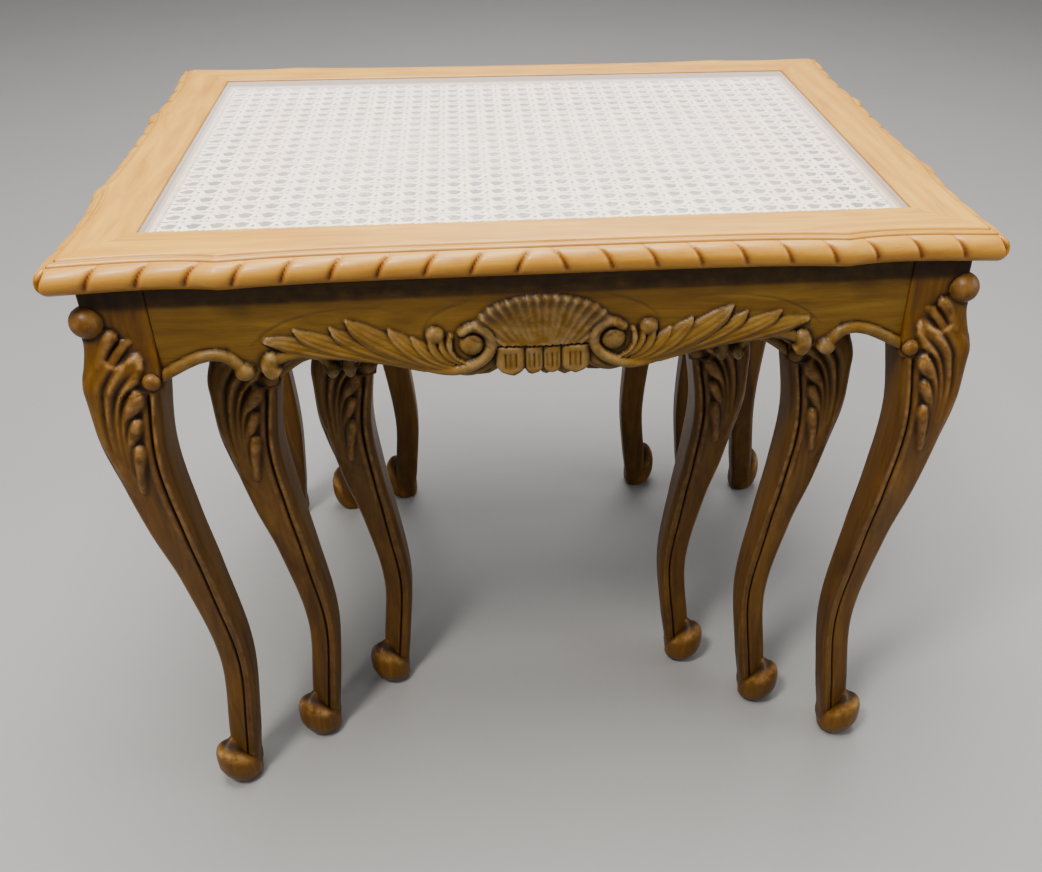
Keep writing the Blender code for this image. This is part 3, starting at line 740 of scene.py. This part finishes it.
# across from the middle and below the top edge, in mm; the drawing is for the largest table's apron
scrollBay = ((170, 61), (174, 66.5), (178, 68), (182, 66.3), (186.5, 62), (190, 66), (195, 68.8), (200, 66),
             (203, 58), (208, 54), (214, 53))
carving = {
    "halfLength": 246.4, "thickness": 18 * mm, "tenon": 18 * mm, "step": 1, "rows": 64, "core": 62,
    "underTopShadow": 0.72, "middleLight": 0.5,
    "lower": ((0, 68.4), (2.5, 70.4), (6, 71.4), (9.5, 70.4), (12, 67.6), (15, 69.8), (21.5, 72.4),
              (28, 70.2), (31.5, 66.8), (36, 69), (42, 71.8), (50, 72.3), (60, 71.8), (70, 70),
              (83, 66.5), (99, 62), (115, 58.6), (130, 56), (142, 54.6), (154, 54.6),
              (163, 56.5), *scrollBay, (222, 54.6), (231, 58.6), (240, 63.2), (246.4, 66.5)),
    "sideLower": ((0, 63.5), (12, 63.8), (40, 63), (60, 60), (90, 55.5), (120, 53.2), (148, 53.6), (163, 56),
                  *scrollBay, (222, 55.2), (231, 60), (240, 65.2), (246.4, 69)),
    "shell": {"middle": 50, "wide": 50, "tall": 35.5, "focus": 21, "ribs": 17, "spread": 57.0},
    "volute": ((-84, 62.5, 3, 3), (-72, 66.3, 3.8, 3.8), (-60, 67.6, 4.2, 4.4), (-49, 65.2, 4.2, 4.8),
               (-39.5, 59.8, 4.1, 5), (-34.6, 52, 4, 5.1), (-35.2, 43.4, 3.9, 5), (-40.6, 37.6, 3.7, 4.9),
               (-47.6, 36.4, 3.4, 4.7), (-53.4, 39.6, 3, 4.6)),
    "eye": ((-47, 48.4), 8.4, 5), "bead": ((-70.7, 41), 6.4, 5.2), "volutePit": ((-46, 48.4), 14),
    "leaves": (
        ((-178, 40.2, 2.6, 2.4), (-168, 42.6, 5.6, 3.4), (-156, 46.2, 6.6, 3.6), (-141, 50.2, 6.4, 3.8),
         (-122, 54, 5, 3.2)),
        ((-159.5, 33.6, 1.4, 2.2), (-152, 39.4, 5.4, 3.6), (-140, 45.4, 7.2, 4), (-124, 51.2, 7, 4),
         (-104, 57.5, 5.4, 3.2)),
        ((-136.5, 33, 1.4, 2.2), (-131, 39.2, 4.8, 3.6), (-120, 46.4, 6.6, 4.1), (-103, 54, 6.6, 4),
         (-85, 61, 5, 3.2)),
        ((-126, 28.4, 1.4, 2.6), (-119.5, 34.8, 6, 4.4), (-107, 44.2, 8.2, 4.9), (-90, 54.5, 7.8, 4.4),
         (-71, 63.5, 5.2, 3.4)),
        ((-99.5, 36.4, 1.6, 2.6), (-94.5, 43.6, 6, 4.2), (-86, 52.5, 7.2, 4.6), (-74, 60.2, 6.6, 4.2),
         (-62, 65, 4.4, 3.2)),
        ((-85, 42.8, 1.6, 2.4), (-80.5, 49.8, 5.2, 4.2), (-73, 57.2, 5.8, 4.4), (-63, 63, 4.8, 3.4)),
        ((-72.5, 44, 3.6, 4), (-71.5, 51, 3.8, 4.4), (-67, 57, 3.8, 4), (-60, 61.5, 3, 2.8)),
        ((-66.8, 44.5, 2.4, 3.6), (-66, 50.5, 2.8, 4), (-62, 56.5, 3, 3.8), (-56, 61, 2.8, 2.8)),
        ((-60, 42, 2.2, 3.4), (-61, 48.5, 3, 3.8), (-58, 55.5, 3.2, 3.8), (-52, 61, 2.8, 3)),
    ),
    "stem": ((-178, 60, 3.6, 3), (-173.5, 54.5, 4, 3.2), (-163, 50.2, 4, 3.2), (-148, 49.6, 4.2, 3.1),
             (-130, 52, 4.6, 3.1), (-112, 57, 5, 3.2), (-96, 61, 5, 3.2), (-80, 65.5, 4.6, 3.4)),
    "leafCurl": ((-176.5, 53.5, 5.6, 4.8), (-178, 58.5, 6.4, 5.6), (-176.5, 63.5, 6.2, 5.2)),
    "scroll": ((-195.5, 61.5, 4.6, 4), (-199.5, 55, 4.2, 4), (-205, 50.2, 4.2, 4), (-213, 48.6, 4.3, 4),
               (-222, 50.4, 4.4, 4), (-231, 54.2, 4.4, 3.9), (-240, 59, 4.4, 3.7), (-249, 64, 4.4, 3.5)),
    "scrollBall": ((-194.6, 62), 6.8, 6),
    "lines": (
        ((-188, 44, 0.8, 0.25), (-177, 34, 0.9, 0.5), (-160, 26, 0.9, 0.5), (-140, 21.5, 0.9, 0.45),
         (-120, 20, 0.9, 0.4), (-104, 21, 0.9, 0.3), (-90, 25, 0.8, 0.05)),
        ((-79, 37, 0.8, 0.1), (-72, 28.5, 0.9, 0.4), (-61, 22, 0.9, 0.5), (-50, 18.5, 0.9, 0.45),
         (-38, 14, 0.8, 0.1))),
    "sideLine": ((-180, 46, 0.9, 0.4), (-150, 36, 0.9, 0.5), (-110, 34, 0.9, 0.4), (-70, 34, 0.9, 0.4),
                 (-40, 30, 0.9, 0.1)),
    "sideShell": 0.62, "sideBall": ((-33, 52), 6, 4.6), "thumb": (4, 3.6, 2.6, 178),
    "pendant": {"parts": ((6, 6.3), (21.6, 9.9)), "split": 12, "half": 31.5, "top": 50, "fluteStep": 3.4,
                "fluteDeep": 1.3},
}


def carveShell(relief, x, d, size=1.0):
    shell = carving["shell"]
    up = (shell["middle"] - d) / size
    x = x / size
    power = 2.3
    reach = np.abs(x / shell["wide"]) ** power + np.abs(np.maximum(up, 0) / shell["tall"]) ** power
    reach = reach ** (1 / power)
    turn = np.degrees(np.arctan2(x, up + shell["focus"]))
    phase = turn * shell["ribs"] / (2 * shell["spread"]) + 0.5
    ridge = 1 - np.abs(np.sin(np.pi * phase))
    scallop = 1 - 0.025 * (1 - np.abs(np.cos(np.pi * phase)) ** 0.7)
    inside = (reach < scallop) & (up > -0.5) & (np.abs(turn) < shell["spread"] + 3)
    dish = 4.6 - 3.6 * np.clip(reach, 0, 1) + 1.9 * ease(reach, 0.72, 0.97)
    height = dish + 1.3 * ridge ** 1.2 * (0.45 + 0.55 * reach) * ease(reach, 0.12, 0.3)
    lip = 1 - ease(reach, scallop - 0.075, scallop)
    relief = np.where(inside, np.maximum(relief, height * (0.35 + 0.65 * lip)), relief)
    # the valleys between the ribs are marked for glaze with painted shade
    return relief, inside * ease(reach, 0.45, 0.95) * (1 - ridge)


def carvePendant(relief, x, d):
    # two pairs of fluted lobes under the shell
    pendant = carving["pendant"]
    ax = np.abs(x)
    step = pendant["fluteStep"]
    (nearMiddle, nearHalf), (farMiddle, farHalf) = pendant["parts"]
    middle = np.where(ax < pendant["split"], nearMiddle, farMiddle)
    half = np.where(ax < pendant["split"], nearHalf, farHalf)
    t = np.clip((ax - middle) / half, -1, 1)
    lobe = (3.4 + 1.4 * ease(d, 54, 66)) * np.sqrt(np.clip(1 - np.abs(t) ** 2.6, 0, 1)) * ease(d, 50.5, 52.5)
    flute = np.exp(-((np.mod(ax - middle + step / 2, step) - step / 2) / 0.7) ** 2)
    flute = flute * ease(d, 54.5, 58) * (1 - ease(d, 65, 68.5)) * (np.abs(ax - middle) < 4.6)
    inside = (ax < pendant["half"]) & (d > pendant["top"])
    # the flutes are marked for glaze with painted shade
    return np.where(inside, np.maximum(relief, lobe - pendant["fluteDeep"] * flute), relief), inside * flute


def carveEnds(relief, left, d):
    # the curl at the foot of the leaves and the C scroll beside the leg
    relief = carveTube(relief, left, d, carving["leafCurl"])
    relief = carveTube(relief, left, d, carving["scroll"])
    return carveBall(relief, left, d, *carving["scrollBall"])


def frontRelief(x, d):
    # x and d in mm on the drawing; the left half is drawn and mirrored
    left = -np.abs(x)
    relief = np.zeros_like(x)
    for path in carving["lines"]:
        relief = cutLine(relief, left, d, path)
    relief = carveLobe(relief, left, d, carving["stem"], lift=0.1, vein=0.0)
    for path in carving["leaves"]:
        relief = carveLobe(relief, left, d, path)
    relief, shellDark = carveShell(relief, x, d)
    relief, fluteDark = carvePendant(relief, x, d)
    # a bed is cleared for the volute so its coils stand free
    (pitX, pitD), pitRadius = carving["volutePit"]
    relief = np.where(np.hypot(left - pitX, d - pitD) < pitRadius, 0.6, relief)
    relief = carveTube(relief, left, d, carving["volute"])
    relief = carveBall(relief, left, d, *carving["eye"])
    relief = carveBall(relief, left, d, *carving["bead"])
    return carveEnds(relief, left, d), np.maximum(shellDark * 0.75, fluteDark * 0.8)


def sideRelief(x, d, edge):
    # C scrolls at the ends, a thumb moulding along the shaped edge and a small shell
    left = -np.abs(x)
    thumbIn, thumbHalf, thumbRise, thumbReach = carving["thumb"]
    relief = thumbRise * np.sqrt(np.clip(1 - ((edge - thumbIn) / thumbHalf) ** 2, 0, 1))
    relief = relief * (-left < thumbReach)
    relief = cutLine(relief, left, d, carving["sideLine"])
    relief, dark = carveShell(relief, x, d, carving["sideShell"])
    relief = carveBall(relief, left, d, *carving["sideBall"])
    return carveEnds(relief, left, d), dark * 0.7


def makeApron(t, place, half, middle, top, front):
    # half is the visible half length; middle is the outer face's place, its side and the way it runs
    x = np.linspace(-half, half, int(2 * half / mm / carving["step"]) + 1) / mm
    full, core, rows = carving["halfLength"], carving["core"], carving["rows"]
    shellScale = min(1.0, 0.45 + 0.55 * half / mm / full)    # the shell keeps its width, the leaves give way
    inner = core * shellScale
    drawn = np.where(np.abs(x) < inner, x / shellScale,
                     np.sign(x) * (core + (np.abs(x) - inner) * (full - core) / (half / mm - inner)))
    lower = np.interp(np.abs(drawn), *zip(*carving["lower" if front else "sideLower"]))
    share = (np.arange(rows + 1) / rows)[None, :] ** 0.82    # closer rows towards the carved lower part
    d = share * lower[:, None]
    edge = lower[:, None] - d
    drawnX = np.broadcast_to(drawn[:, None], d.shape)
    relief, dark = frontRelief(drawnX, d) if front else sideRelief(drawnX, d, edge)
    relief = relief - 1.2 * (1 - ease(edge, 0, 1.6)) ** 2
    shadeAndGlaze, highlightAndWear = shadeMarks(relief, 2, 1.0)
    # painted shadow of the overhanging top along the apron's upper edge
    topShadowBand = carving["underTopShadow"] * (0.8 * (1 - ease(d, 12.5, 15.5)) + 0.2 * (1 - ease(d, 15, 27)))
    shadeAndGlaze = np.maximum(np.maximum(shadeAndGlaze * 0.9, dark * 0.8), topShadowBand)
    highlightAndWear = np.maximum(highlightAndWear, carving["middleLight"] * (np.abs(drawnX) < 52) * (relief > 1.0) * front)
    runX = np.broadcast_to((x * mm)[:, None], d.shape)
    out = relief * mm
    centre, sign, axis = middle
    z = top - d * mm
    if axis == "x":
        points = np.stack([runX * -sign, centre + sign * out, z], -1)
    else:
        points = np.stack([centre[0] + sign * out, centre[1] + runX, z], -1)
    piece, column, row = newGrid(f"{t}_{place}_carved_apron", d.shape[0] - 1, d.shape[1] - 1)
    placePoints(piece, column, row, points, {"shadeAndGlaze": shadeAndGlaze, "highlightAndWear": highlightAndWear})
    pick(piece)
    setMode("EDIT")
    bpy.ops.mesh.select_mode(type="EDGE")
    bpy.ops.mesh.select_all(action="DESELECT")
    bpy.ops.mesh.select_non_manifold()
    bpy.ops.mesh.extrude_edges_move()
    setMode("OBJECT")
    places = readPoints(piece)
    face = centre if axis == "x" else centre[0]
    places[points.shape[0] * points.shape[1]:, 1 if axis == "x" else 0] = face - sign * carving["thickness"]
    piece.data.vertices.foreach_set("co", places.ravel())
    closeShell(piece, smooth=50)
    dress(piece, f"{t}_table", "apron_wood", wood("apronWoodShaded", axis), f"{t}_{place}_apron")


def makeAprons(t):
    tenon = carving["tenon"]
    low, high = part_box(f"{t}_front_apron")
    makeApron(t, "front", high.x - tenon, (low.y, -1, "x"), high.z, True)
    for place, sign in (("left", -1), ("right", 1)):
        low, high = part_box(f"{t}_{place}_apron")
        face = low.x if sign < 0 else high.x
        half = (high.y - low.y) / 2 - tenon
        makeApron(t, place, half, ((face, (low.y + high.y) / 2), sign, "y"), high.z, False)
    if t == "small":
        low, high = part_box("small_back_apron")
        makeApron(t, "back", high.x - tenon, (high.y, 1, "x"), high.z, False)


for t in tables:
    makeAprons(t)
print("aprons carved")


# Cane: pairs of strands each way and single strands on both diagonals, each a thin lens in section

weave = {"pitch": 15.5 * mm, "pairGap": 2.1 * mm, "strand": 2.5 * mm, "thick": 0.42 * mm, "wave": 0.38 * mm,
         "shortest": 6 * mm}


def strandPoints(starts, heading, stops, heights):
    # four lines along a strand: left edge, crown, right edge, underside
    side = np.array((-heading[1], heading[0])) * weave["strand"] / 2
    ring = ((side, 0.0), ((0, 0), weave["thick"]), (-side, 0.0), ((0, 0), -weave["thick"] * 0.5))
    lines = []
    for shift, lift in ring:
        xy = np.asarray(starts) + np.outer(stops, heading) + shift
        lines.append(np.column_stack([xy, heights + lift]))
    return np.array(lines)


def caneStrands(halfX, halfY):
    pitch, gap, wave = weave["pitch"], weave["pairGap"], weave["wave"]
    strands = []
    most = int(2 * max(halfX, halfY) / pitch) + 2
    pairs = [(k, s) for k in range(-most, most + 1) for s in (-1, 1)]
    columns = [(k, s) for k, s in pairs if abs(k * pitch + s * gap) < halfX - weave["strand"] / 2]
    lines = [(k, s) for k, s in pairs if abs(k * pitch + s * gap) < halfY - weave["strand"] / 2]
    for across, other, heading, flip in ((columns, lines, (0.0, 1.0), 1), (lines, columns, (1.0, 0.0), -1)):
        reach = halfY if flip > 0 else halfX
        for n, (k, s) in enumerate(across):
            stops = np.array([-reach] + [m * pitch + q * gap for m, q in other] + [reach])
            heights = flip * wave * np.array([0] + [(-1) ** (n + i) for i in range(len(other))] + [0], float)
            place = k * pitch + s * gap
            start = (place, 0.0) if flip > 0 else (0.0, place)
            strands.append(strandPoints(start, heading, stops, heights))
    root = math.sqrt(0.5)
    for lean in (1, -1):
        for k in range(-most, most + 1):
            shift = (k + 0.5) * pitch    # y = lean * x + shift
            crossings = [(m * pitch + q * gap, 1.0) for m, q in columns]
            crossings += [(lean * (m * pitch + q * gap - shift), -1.0) for m, q in lines]
            lowX = max(-halfX, min(lean * (-halfY - shift), lean * (halfY - shift)))
            highX = min(halfX, max(lean * (-halfY - shift), lean * (halfY - shift)))
            if highX - lowX < weave["shortest"]:
                continue
            inside = sorted(c for c in crossings if lowX + 1 * mm < c[0] < highX - 1 * mm)
            xs = np.array([lowX] + [c[0] for c in inside] + [highX])
            rise = (wave + weave["thick"] * 0.9) * (0.8 if lean > 0 else 1.0)
            heights = np.array([0.0] + [c[1] * rise for c in inside] + [0.0])
            strands.append(strandPoints((0.0, shift), (root, lean * root), xs / root, heights))
    return strands


def caneMaterial():
    graph = Graph("splitCane")
    tone = graph.noise(graph.stretched((70, 70, 70)), 1.0, 4.0)
    fibre = graph.noise(graph.stretched((900, 900, 200)), 1.0, 2.0)
    colour = graph.ramp(tone * 0.65 + fibre * 0.35, (0.32, (0.64, 0.50, 0.33)), (0.52, (0.86, 0.75, 0.56)),
                        (0.70, (0.93, 0.86, 0.72)))
    graph.set(Base_Color=colour, Roughness=0.42 + tone * 0.15, Normal=graph.bump(0.4, 0.0002, fibre))
    return graph.material


def makeCane(t, material):
    node = f"{t}_cane"
    low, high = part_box(node)
    middle = ((low.x + high.x) / 2, (low.y + high.y) / 2, (low.z + high.z) / 2)
    strands = caneStrands((high.x - low.x) / 2, (high.y - low.y) / 2)
    total = sum(s.shape[1] for s in strands)
    piece, column, row = newGrid(f"{t}_woven_cane", 4, total - 1)
    points = np.concatenate([np.concatenate([s, s[:1]]) for s in strands], axis=1) + middle
    placePoints(piece, column, row, points)
    # the quads that jump from one strand to the next are taken out
    joins = np.zeros(total, bool)
    joins[np.cumsum([s.shape[1] for s in strands])[:-1] - 1] = True
    corners = np.empty(len(piece.data.loops), np.int32)
    piece.data.loops.foreach_get("vertex_index", corners)
    pick(piece)
    setMode("EDIT")
    bpy.ops.mesh.select_mode(type="FACE")
    bpy.ops.mesh.select_all(action="DESELECT")
    setMode("OBJECT")
    piece.data.polygons.foreach_set("select", joins[row[corners.reshape(-1, 4)].min(1)])
    setMode("EDIT")
    bpy.ops.mesh.delete(type="FACE")
    setMode("OBJECT")
    closeShell(piece, merge=1e-6, smooth=50)
    dress(piece, f"{t}_table", "cane", material, node)


caneFinish = caneMaterial()
for t in tables:
    makeCane(t, caneFinish)
print("cane woven")


# Finishes for the CAD parts that stay: glass, splines and glue blocks

def glassMaterial():
    graph = Graph("paneGlass")
    facing = graph.node("ShaderNodeLayerWeight", None, {"Blend": 0.5}, output="Facing")
    sheen = facing ** 5.0
    smear = graph.noise(graph.stretched((14, 5, 9)), 1.0, 3.0)
    # painted reflection: a pale whitish colour, more opaque at grazing angles, stands in for the bright room
    # reflected in the glass
    alpha = (sheen * 1.1 + 0.05).clamped()
    graph.set(Base_Color=(0.80, 0.81, 0.86), Roughness=0.05 + smear * 0.06, Alpha=alpha, IOR=1.5)
    return graph.material


def reedMaterial():
    graph = Graph("reedSpline")
    fibre = graph.noise(graph.stretched((260, 260, 260)), 1.0, 4.0)
    colour = graph.ramp(fibre, (0.35, (0.36, 0.24, 0.12)), (0.65, (0.60, 0.46, 0.28)))
    graph.set(Base_Color=colour, Roughness=0.5 + fibre * 0.2, Normal=graph.bump(0.4, 0.0003, fibre))
    return graph.material


def blockMaterial():
    graph = Graph("sawnBlock")
    grain = graph.noise(graph.stretched((30, 240, 240)), 1.0, 5.0, 0.6, 0.8)
    saw = graph.noise(graph.stretched((700, 60, 700)), 1.0, 2.0)
    colour = graph.ramp(grain, (0.35, (0.24, 0.14, 0.07)), (0.65, (0.44, 0.30, 0.17)))
    rough = graph.bump(0.5, 0.0004, grain * 0.6 + saw * 0.4)
    graph.set(Base_Color=colour, Roughness=0.62 + saw * 0.15, Normal=rough)
    return graph.material


finishes = {"_glass": glassMaterial(), "_spline": reedMaterial(), "_block": blockMaterial()}
for name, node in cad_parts.items():
    for ending, finish in finishes.items():
        if name.endswith(ending):
            node.data.materials[0] = finish
print("carried finishes set")


# Floor, lights and camera

studio = {
    "floor": (0.205, 0.208, 0.215), "world": (1.0, 0.98, 0.96), "worldStrength": 0.40,
    "lamps": {  # place, target, width, power, colour
        "key": ((-0.10, -0.10, 2.6), (0.0, 0.0, 0.45), 1.5, 135.0, (1.0, 0.95, 0.87)),
        "front": ((-0.85, -1.2, 2.45), (0.0, -0.2, 0.4), 0.55, 84.0, (1.0, 0.93, 0.82)),
        "fill": ((2.1, -0.6, 1.2), (0.0, 0.0, 0.25), 1.4, 25.0, (1.0, 0.96, 0.9)),
        "rear": ((0.2, 1.6, 2.3), (0.0, 0.1, 0.4), 2.0, 58.0, (1.0, 0.97, 0.92)),
    },
}
lens = {"place": (-0.0418, -0.8340, 0.7713), "yaw": 0.1157, "pitch": 0.5924, "roll": 0.0127, "length": 36.58,
        "shiftX": -0.0627, "shiftY": -0.0027}


def aim(thing, place, target):
    thing.location = place
    thing.rotation_euler = (Vector(target) - Vector(place)).to_track_quat("-Z", "Y").to_euler()


def makeStudio():
    clearSelection()
    bpy.ops.mesh.primitive_plane_add(size=60, location=(0, 0, 0))
    floor = bpy.context.object
    floor.name = "studio_floor"
    graph = Graph("paleFloor")
    cloud = graph.noise(graph.stretched((3, 3, 3)), 1.0, 4.0)
    fleck = graph.noise(graph.stretched((120, 120, 120)), 1.0, 3.0)
    base = studio["floor"]
    colour = graph.mixed(cloud * 0.5 + fleck * 0.3, [c * 0.90 for c in base], [c * 1.06 for c in base])
    graph.set(Base_Color=colour, Roughness=0.7)
    floor.data.materials.append(graph.material)
    world = bpy.context.scene.world or bpy.data.worlds.new("studioWorld")
    bpy.context.scene.world = world
    world.use_nodes = True
    back = world.node_tree.nodes["Background"]
    back.inputs["Color"].default_value = (*studio["world"], 1.0)
    back.inputs["Strength"].default_value = studio["worldStrength"]
    for label, (place, target, size, power, colour) in studio["lamps"].items():
        lamp = bpy.data.lights.new(f"{label}Light", "AREA")
        lamp.shape = "DISK"
        lamp.size = size
        lamp.energy = power
        lamp.color = colour
        holder = bpy.data.objects.new(f"{label}Light", lamp)
        bpy.context.scene.collection.objects.link(holder)
        aim(holder, place, target)


def makeCamera():
    yaw, pitch, roll = lens["yaw"], lens["pitch"], lens["roll"]
    forward = Vector((math.sin(yaw) * math.cos(pitch), math.cos(yaw) * math.cos(pitch), -math.sin(pitch)))
    right = Vector((math.cos(yaw), -math.sin(yaw), 0))
    up = right.cross(forward)
    tiltRight = math.cos(roll) * right + math.sin(roll) * up
    tiltUp = -math.sin(roll) * right + math.cos(roll) * up
    camera = bpy.data.cameras.new("viewCamera")
    camera.sensor_width = 36
    camera.lens = lens["length"]
    camera.shift_x = lens["shiftX"]
    camera.shift_y = lens["shiftY"]
    holder = bpy.data.objects.new("viewCamera", camera)
    bpy.context.scene.collection.objects.link(holder)
    turn = Matrix((tiltRight, tiltUp, -forward)).transposed()
    holder.matrix_world = Matrix.Translation(lens["place"]) @ turn.to_4x4()
    bpy.context.scene.camera = holder


makeStudio()
makeCamera()
print("studio set")
